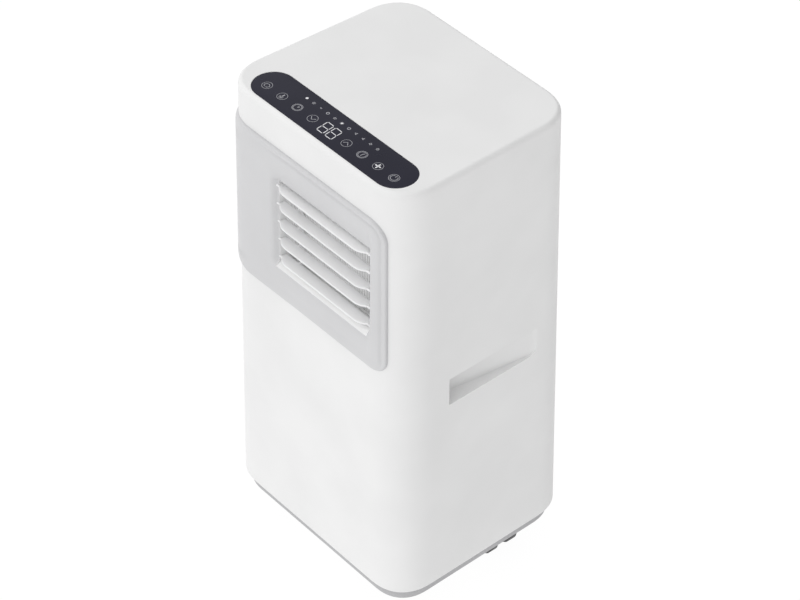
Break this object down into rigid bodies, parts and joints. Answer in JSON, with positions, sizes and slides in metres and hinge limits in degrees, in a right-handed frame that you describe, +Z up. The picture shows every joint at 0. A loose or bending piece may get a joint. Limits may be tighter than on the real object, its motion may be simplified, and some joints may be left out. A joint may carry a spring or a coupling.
{
  "type": "portable air conditioner",
  "caption": "Upright portable air conditioner: tapered rounded cabinet with a wrap-round louvered outlet, touch strip on top, rear intakes, hose port and swivel casters.",
  "frame": {"origin": "on the floor, under the middle of the cabinet", "axes": "+Z up; the outlet and its louvers face -Y; +X is on the right of a person who looks at the outlet"},
  "size_m": [0.3494, 0.3, 0.7],
  "materials": {
    "casing_white": "fine satin texture",
    "outlet_grey": "smooth satin",
    "base_grey": "fine texture",
    "control_black": "gloss, with light symbols seen through it",
    "inner_grey": "moulded, unpolished",
    "guide_black": "matt",
    "board_green": "lacquered",
    "motor_steel": "zinc plated",
    "coil_aluminium": "thin fins",
    "capacitor_aluminium": "drawn can",
    "shell_black": "black enamel",
    "pipe_copper": "drawn copper",
    "rubber_black": "matt",
    "caster_black": "fine texture"
  },
  "bodies": {
    "cabinet": {"base_pan": "base_grey", "body_shell": "casing_white", "compressor": "shell_black", "compressor_mount_1": "rubber_black", "compressor_mount_2": "rubber_black", "compressor_mount_3": "rubber_black", "condenser_coil": "coil_aluminium", "condenser_motor": "motor_steel", "condenser_scroll": "inner_grey", "control_board": "board_green", "control_lens": "control_black", "cord_gland": "rubber_black", "discharge_pipe": "pipe_copper", "display_board": "board_green", "drain_tray": "inner_grey", "electrical_box": "inner_grey", "evaporator_coil": "coil_aluminium", "evaporator_motor": "motor_steel", "evaporator_scroll": "inner_grey", "exhaust_collar": "casing_white", "exhaust_duct": "inner_grey", "light_guide": "guide_black", "liquid_pipe": "pipe_copper", "louver_motor": "inner_grey", "lower_grille": "casing_white", "outlet_bezel": "outlet_grey", "outlet_duct": "inner_grey", "outlet_guard": "casing_white", "rear_cover": "casing_white", "run_capacitor": "capacitor_aluminium", "splash_motor": "motor_steel", "suction_accumulator": "shell_black", "suction_pipe": "pipe_copper", "top_cover": "casing_white"},
    "louver_1": {"louver_1": "outlet_grey"},
    "louver_2": {"louver_2": "outlet_grey"},
    "louver_3": {"louver_3": "outlet_grey"},
    "louver_4": {"louver_4": "outlet_grey"},
    "louver_5": {"louver_5": "outlet_grey"},
    "louver_link": {"louver_link": "outlet_grey"},
    "intake_cover": {"upper_grille": "casing_white", "air_filter": "inner_grey"},
    "upper_drain_plug": {"upper_drain_plug": "rubber_black"},
    "lower_drain_plug": {"lower_drain_plug": "rubber_black"},
    "evaporator_blower": {"evaporator_blower": "inner_grey"},
    "condenser_blower": {"condenser_blower": "inner_grey"},
    "splash_wheel": {"splash_wheel": "inner_grey"},
    "caster_front_right": {"caster_front_right": "caster_black"},
    "wheel_front_right": {"wheel_front_right": "caster_black"},
    "caster_front_left": {"caster_front_left": "caster_black"},
    "wheel_front_left": {"wheel_front_left": "caster_black"},
    "caster_rear_right": {"caster_rear_right": "caster_black"},
    "wheel_rear_right": {"wheel_rear_right": "caster_black"},
    "caster_rear_left": {"caster_rear_left": "caster_black"},
    "wheel_rear_left": {"wheel_rear_left": "caster_black"}
  },
  "joints": [
    {"name": "louver_3_tilt", "type": "hinge", "parent": "cabinet", "child": "louver_3", "pos_m": [0, -0.1387, 0.5348], "axis": [1, 0, 0], "range_deg": [-30, 30]},
    {"name": "louver_1_tilt", "type": "hinge", "parent": "cabinet", "child": "louver_1", "pos_m": [0, -0.1387, 0.59], "axis": [1, 0, 0], "range_deg": [-30, 30]},
    {"name": "louver_2_tilt", "type": "hinge", "parent": "cabinet", "child": "louver_2", "pos_m": [0, -0.1387, 0.5624], "axis": [1, 0, 0], "range_deg": [-30, 30]},
    {"name": "louver_4_tilt", "type": "hinge", "parent": "cabinet", "child": "louver_4", "pos_m": [0, -0.1387, 0.5072], "axis": [1, 0, 0], "range_deg": [-30, 30]},
    {"name": "louver_5_tilt", "type": "hinge", "parent": "cabinet", "child": "louver_5", "pos_m": [0, -0.1387, 0.4796], "axis": [1, 0, 0], "range_deg": [-30, 30]},
    {"name": "louver_link_pin", "type": "hinge", "parent": "louver_3", "child": "louver_link", "pos_m": [-0.04, -0.1237, 0.5348], "axis": [1, 0, 0], "range_deg": [-30, 30]},
    {"name": "evaporator_blower_spin", "type": "hinge", "parent": "cabinet", "child": "evaporator_blower", "pos_m": [0.02, 0.048, 0.53], "axis": [0, 1, 0], "continuous": true},
    {"name": "condenser_blower_spin", "type": "hinge", "parent": "cabinet", "child": "condenser_blower", "pos_m": [0, 0.064, 0.178], "axis": [0, 1, 0], "continuous": true},
    {"name": "splash_wheel_spin", "type": "hinge", "parent": "cabinet", "child": "splash_wheel", "pos_m": [0.125, 0.084, 0.08], "axis": [0, 1, 0], "continuous": true},
    {"name": "intake_cover_slide", "type": "slide", "parent": "cabinet", "child": "intake_cover", "axis": [0, 1, 0], "range_m": [0, 0.08]},
    {"name": "upper_drain_plug_slide", "type": "slide", "parent": "cabinet", "child": "upper_drain_plug", "axis": [0, 1, 0], "range_m": [0, 0.03]},
    {"name": "lower_drain_plug_slide", "type": "slide", "parent": "cabinet", "child": "lower_drain_plug", "axis": [0, 1, 0], "range_m": [0, 0.03]},
    {"name": "caster_front_right_swivel", "type": "hinge", "parent": "cabinet", "child": "caster_front_right", "pos_m": [0.113, -0.085, 0.04], "axis": [0, 0, 1], "continuous": true},
    {"name": "wheel_front_right_roll", "type": "hinge", "parent": "caster_front_right", "child": "wheel_front_right", "pos_m": [0.099, -0.085, 0.018], "axis": [0, 1, 0], "continuous": true},
    {"name": "caster_front_left_swivel", "type": "hinge", "parent": "cabinet", "child": "caster_front_left", "pos_m": [-0.113, -0.085, 0.04], "axis": [0, 0, 1], "continuous": true},
    {"name": "wheel_front_left_roll", "type": "hinge", "parent": "caster_front_left", "child": "wheel_front_left", "pos_m": [-0.099, -0.085, 0.018], "axis": [0, 1, 0], "continuous": true},
    {"name": "caster_rear_right_swivel", "type": "hinge", "parent": "cabinet", "child": "caster_rear_right", "pos_m": [0.113, 0.058, 0.04], "axis": [0, 0, 1], "continuous": true},
    {"name": "wheel_rear_right_roll", "type": "hinge", "parent": "caster_rear_right", "child": "wheel_rear_right", "pos_m": [0.127, 0.058, 0.018], "axis": [0, 1, 0], "continuous": true},
    {"name": "caster_rear_left_swivel", "type": "hinge", "parent": "cabinet", "child": "caster_rear_left", "pos_m": [-0.113, 0.058, 0.04], "axis": [0, 0, 1], "continuous": true},
    {"name": "wheel_rear_left_roll", "type": "hinge", "parent": "caster_rear_left", "child": "wheel_rear_left", "pos_m": [-0.127, 0.058, 0.018], "axis": [0, 1, 0], "continuous": true}
  ],
  "couplings": [
    {"joint": "louver_1_tilt", "follows": "louver_3_tilt", "ratio": 1},
    {"joint": "louver_2_tilt", "follows": "louver_3_tilt", "ratio": 1},
    {"joint": "louver_4_tilt", "follows": "louver_3_tilt", "ratio": 1},
    {"joint": "louver_5_tilt", "follows": "louver_3_tilt", "ratio": 1},
    {"joint": "louver_link_pin", "follows": "louver_3_tilt", "ratio": -1}
  ]
}
